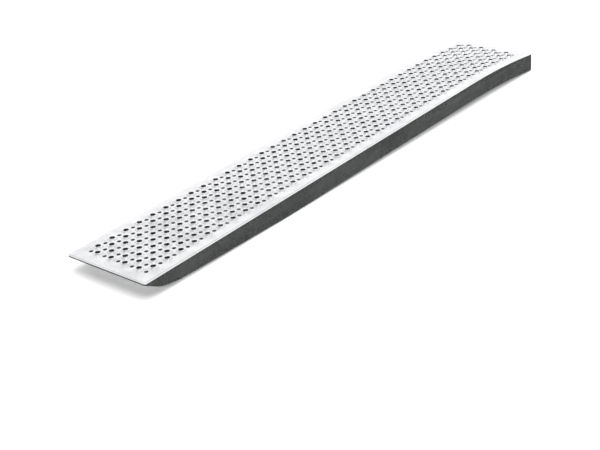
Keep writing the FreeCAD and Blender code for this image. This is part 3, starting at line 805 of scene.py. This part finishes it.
def zinc(name, light, dark, rough, stains, seed, spangle, grain="X", attributes=False, bump=1.0):
    """Galvanised steel: mottled zinc with rolling lines, spangle, handling marks, brighter edges
    (wear and painted highlight) and grime. With attributes, wear with painted highlight and dirt
    with painted shade come from the mesh."""
    mat = bpy.data.materials.new(name)
    net = Nodes(mat)
    coord = net.coord("Object")

    def grained(lengthwise, across):
        if grain == "X":
            return (lengthwise, across, across)
        return (across, lengthwise, across)

    def shade(*factors):
        return tuple(part * factor for part, factor in zip(dark, factors)) + (1,)

    # patterns
    place = net.mapped(coord, scale=(1, 1, 1), offset=(seed, seed * 0.37, seed * 0.73))
    lines = net.noise(net.mapped(coord, scale=grained(1.5, 260), offset=(seed, 0, 0)),
                      detail=4.0, rough=0.6)
    cloud = net.noise(place, scale=7.0, detail=4.0, rough=0.55, distort=0.4)
    patch = net.noise(place, scale=26.0, distort=0.8)
    fine = net.noise(place, scale=420.0, detail=2.0)
    cells = net.add("ShaderNodeTexVoronoi",
                    {"Vector": place, "Scale": 150.0, "Randomness": 1.0}, feature="F1")
    crystal = net.add("ShaderNodeSeparateColor",
                      {"Color": cells.outputs["Color"]}).outputs["Red"]
    marks = net.noise(net.mapped(coord, scale=grained(14, 320), offset=(seed + 3, 1, 2)),
                      detail=2.0, rough=0.4, distort=1.2)
    scratch = net.remap(marks, lo=0.66, hi=0.70)
    blots = net.noise(net.mapped(coord, scale=(3.2, 9, 9), offset=(seed + 9, 4, 4)),
                      detail=5.0, rough=0.6, distort=0.6)
    stain = net.times(net.remap(blots, lo=0.52, hi=0.74), stains)

    if attributes:
        # wear from the mesh: real wear, and a painted highlight on folds, rims and cut edges
        wear_and_highlight = net.times(net.attribute("wear_and_highlight"),
                         net.remap(patch, lo=0.25, hi=0.6, to_lo=0.45, to_hi=1.0))
        # dirt from the mesh: real dirt, and painted shade at crater bases, in the holes and
        # underneath
        dirt_and_shade = net.times(net.attribute("dirt_and_shade"),
                         net.remap(cloud, lo=0.3, hi=0.7, to_lo=0.35, to_hi=1.0))
        under = net.attribute("under")
    else:
        # wear from the bevelled edges: real wear, and a painted highlight
        wear_and_highlight = net.times(edge_wear_and_highlight(net),
                         net.remap(patch, lo=0.25, hi=0.6, to_lo=0.5, to_hi=1.0))
        dirt_and_shade = net.remap(patch, lo=0.52, hi=0.72, to_lo=0.0, to_hi=0.6)

    # base tone: shares of the cloud and patch noises, varied by crystals and rolling lines
    tone = net.math("ADD", net.times(cloud, 0.55), net.times(patch, 0.45))
    tone = net.vary(tone, crystal, amount=0.22 * spangle)
    tone = net.vary(tone, lines, amount=0.30)
    colour = net.mix(net.remap(tone, lo=0.30, hi=0.70), dark + (1,), light + (1,))
    colour = net.mix(stain, colour, shade(0.74, 0.74, 0.74))
    # layers over it: mask, strength, colour
    # the dirt layer darkens the colour: partly dirt, partly painted shade
    layers = [(dirt_and_shade, 0.55, shade(0.52, 0.52, 0.52))]
    if attributes:
        layers.append((under, 0.35, shade(0.72, 0.73, 0.75)))
    # the wear layer lightens the colour: partly wear, partly a painted highlight
    layers += [(wear_and_highlight, 0.65, (0.93, 0.93, 0.93, 1)), (scratch, 0.35, (0.90, 0.90, 0.91, 1))]
    for mask, strength, tint in layers:
        colour = net.mix(net.times(mask, strength), colour, tint)

    roughness = net.vary(rough, cloud, amount=0.22)
    roughness = net.vary(roughness, crystal, amount=0.10 * spangle)
    roughness = net.vary(roughness, lines, amount=0.12)
    # what each mask adds to the roughness or takes from it
    changes = [("ADD", stain, 0.20), ("ADD", dirt_and_shade, 0.22),
               ("SUBTRACT", wear_and_highlight, 0.12), ("SUBTRACT", scratch, 0.10)]
    if attributes:
        changes.append(("ADD", under, 0.12))
    for operation, mask, amount in changes:
        roughness = net.math(operation, roughness, net.times(mask, amount))
    for operation, limit in (("MINIMUM", 0.85), ("MAXIMUM", 0.14)):
        roughness = net.math(operation, roughness, limit)

    # fine relief: what each pattern adds to the height or takes from it
    height = net.times(lines, 0.35)
    for operation, pattern, amount in (("ADD", fine, 0.25), ("ADD", crystal, 0.12 * spangle),
                                       ("SUBTRACT", scratch, 0.5)):
        height = net.math(operation, height, net.times(pattern, amount))
    relief = net.bump(height, strength=0.16 * bump, distance=0.0004)
    relief = net.bump(patch, strength=0.30 * bump, distance=0.0012, Normal=relief)

    bsdf = net.add("ShaderNodeBsdfPrincipled", {
        "Base Color": colour,
        "Roughness": roughness,
        "Normal": relief,
        # the dirt mask, partly painted shade, also lowers the metallic value
        "Metallic": net.math("SUBTRACT", 1.0, net.times(dirt_and_shade, 0.25)),    # dirt is less metallic
    })
    net.output("ShaderNodeOutputMaterial", bsdf.outputs["BSDF"])
    return mat


def floor_material():
    mat = bpy.data.materials.new("studio_floor")
    net = Nodes(mat)
    coord = net.coord("Object")
    colour = net.mix(net.noise(coord, scale=1.3), (0.86, 0.86, 0.86, 1), (0.89, 0.89, 0.885, 1))

    # painted shade: a dark patch under the plank, where little light gets in, darkest near the foot
    x, y, _ = net.split(coord)
    across = net.times(net.remap(y, lo=0.146, hi=0.128), net.remap(y, lo=-0.106, hi=-0.086))
    from_foot = net.remap(x, lo=-0.690, hi=-0.670)
    to_end = net.remap(x, lo=0.742, hi=0.72)
    patch = net.times(net.times(across, from_foot), to_end)
    near_foot = net.remap(x, lo=-0.38, hi=-0.50)

    def patch_share(base, foot_extra):
        return net.times(patch, net.math("ADD", base, net.times(near_foot, foot_extra)))

    colour = net.mix(patch_share(base=0.70, foot_extra=0.26), colour, (0.02, 0.02, 0.022, 1))
    # painted reflection: mirrored in the metal, the ground is darker than it looks from the camera
    path = net.add("ShaderNodeLightPath").outputs
    colour = net.mix(net.times(path["Is Glossy Ray"], 0.97), colour, (0.022, 0.027, 0.022, 1))
    bsdf = net.add("ShaderNodeBsdfPrincipled", {
        "Base Color": colour, "Roughness": 0.85, "Specular IOR Level": 0.15})
    # painted light: a little extra light for the camera keeps the soft shadow pale
    glow = net.math("SUBTRACT", 0.24, patch_share(base=0.13, foot_extra=0.08))
    emission = net.add("ShaderNodeEmission",
                       {"Strength": net.times(path["Is Camera Ray"], glow)})
    both = net.add("ShaderNodeAddShader",
                   {0: bsdf.outputs["BSDF"], 1: emission.outputs["Emission"]})
    net.output("ShaderNodeOutputMaterial", both.outputs["Shader"])
    return mat


DECK_ZINC = zinc("deck_zinc", light=(0.86, 0.865, 0.87), dark=(0.70, 0.71, 0.73), rough=0.30,
                 stains=0.45, seed=1.0, spangle=0.5, attributes=True)
# the rib zinc is darker than the deck's: duller zinc, and partly painted shade for ribs seen
# through the holes
RIB_ZINC = zinc("rib_zinc", light=(0.64, 0.65, 0.67), dark=(0.45, 0.47, 0.50), rough=0.46,
                stains=0.7, seed=4.0, spangle=0.7, grain="Y")
BAR_ZINC = zinc("bar_zinc", light=(0.70, 0.71, 0.73), dark=(0.52, 0.54, 0.57), rough=0.46,
                stains=0.7, seed=8.0, spangle=0.6, grain="Y", bump=1.6)
WELD_ZINC = zinc("weld_zinc", light=(0.66, 0.67, 0.69), dark=(0.46, 0.47, 0.50), rough=0.50,
                 stains=0.6, seed=12.0, spangle=0.3, bump=2.0)
SEAM_ZINC = zinc("seam_zinc", light=(0.80, 0.81, 0.82), dark=(0.60, 0.61, 0.63), rough=0.38,
                 stains=0.4, seed=15.0, spangle=0.3, bump=1.4)


# ------------------------------------------------------------------ the pieces
def place_piece(ob, node, mat):
    ob.data.materials.append(mat)
    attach(ob, "root")
    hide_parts(node)


place_piece(build_sheet(), "deck_panel", DECK_ZINC)

# object, CAD node, directions of the two legs
BEADS = [("rib_tab_beads", "rib_tab_welds", (1, 0, 0), None),
         ("foot_bar_beads", "foot_bar_welds", (1, 0, 0), (0, 0, -1)),
         ("top_end_angle_beads", "top_end_angle_welds", (-1, 0, 0), (0, 0, -1))]
for name, node, leg_a, leg_b in BEADS:
    place_piece(bead_piece(name, node, leg_a, leg_b), node, WELD_ZINC)
place_piece(corner_piece("corner_seams", "corner_welds"), "corner_welds", SEAM_ZINC)

# the ribs, the foot bar and the top end angle keep their CAD shapes
for name, ob in NODES.items():
    if name.startswith("cross_rib"):
        mat = RIB_ZINC
    elif name in ("foot_bar", "top_end_angle"):
        mat = BAR_ZINC
    else:
        continue
    for material_slot in ob.material_slots:
        material_slot.material = mat

# ------------------------------------------------------------------ floor, light and camera
# the plank rests on the top end's lowest edge and on the knee of the flanges: (x, z)
REST_END = (DECK_HI.x, DECK_LO.z)
REST_KNEE = (DECK_LO.x + KNEE_X * MM, DECK_HI.z - (CRATER_H + FLANGE_DEPTH) * MM)
FLOOR_SLOPE = (REST_KNEE[1] - REST_END[1]) / (REST_KNEE[0] - REST_END[0])
FLOOR_GAP = 0.0003
FLOOR_START, FLOOR_SIZE, FLOOR_STEPS = -9.0, 24.0, 24


def build_floor():
    side = [FLOOR_START + FLOOR_SIZE * i / FLOOR_STEPS for i in range(FLOOR_STEPS + 1)]
    points = [(x, y, REST_END[1] + (x - REST_END[0]) * FLOOR_SLOPE - FLOOR_GAP)
              for x in side for y in side]
    count = len(side)
    corners = [i * count + j for i in range(FLOOR_STEPS) for j in range(FLOOR_STEPS)]
    floor = new_object("floor", points,
                       [(a, a + count, a + count + 1, a + 1) for a in corners])
    floor.data.materials.append(floor_material())


def build_world(scene):
    world = bpy.data.worlds.new("studio")
    scene.world = world
    net = Nodes(world)
    coord = net.coord("Generated")
    # brighter towards one side, and brightest just above the horizon
    bright_side = net.dot(coord, (0.70, 0.38, 0.44))
    colour = net.mix(net.remap(bright_side, lo=-0.88, hi=0.50),
                     (0.46, 0.49, 0.53, 1), (1.19, 1.185, 1.19, 1))
    strength = net.remap(net.split(coord)["Z"], lo=0.34, hi=0.74, to_lo=1.09, to_hi=0.68)
    background = net.add("ShaderNodeBackground", {"Strength": strength, "Color": colour})
    net.output("ShaderNodeOutputWorld", background.outputs["Background"])


def build_sun(scene):
    sun = bpy.data.lights.new("key", "SUN")
    sun.energy = 1.5
    sun.angle = math.radians(50)
    sun.color = (1.0, 0.985, 0.97)
    sun_ob = bpy.data.objects.new("key", sun)
    scene.collection.objects.link(sun_ob)
    towards_sun = Vector((-0.10, -0.24, 0.96)).normalized()
    sun_ob.rotation_euler = (-towards_sun).to_track_quat("-Z", "Y").to_euler()


def build_camera(scene):
    lens = bpy.data.cameras.new("camera")
    lens.lens = 77.8987
    lens.sensor_width = 36.0
    lens.clip_start = 0.05
    lens.clip_end = 60.0
    camera = bpy.data.objects.new("camera", lens)
    scene.collection.objects.link(camera)
    camera.location = (-2.21253, -1.79058, 1.33224)
    camera.rotation_euler = tuple(math.radians(a) for a in (62.1737, 3.9257, -51.2024))
    scene.camera = camera


scene = bpy.context.scene
build_floor()
build_world(scene)
build_sun(scene)
build_camera(scene)
scene.view_settings.view_transform = "Standard"
scene.view_settings.look = "None"
scene.view_settings.exposure = 0.0

bpy.context.view_layer.update()
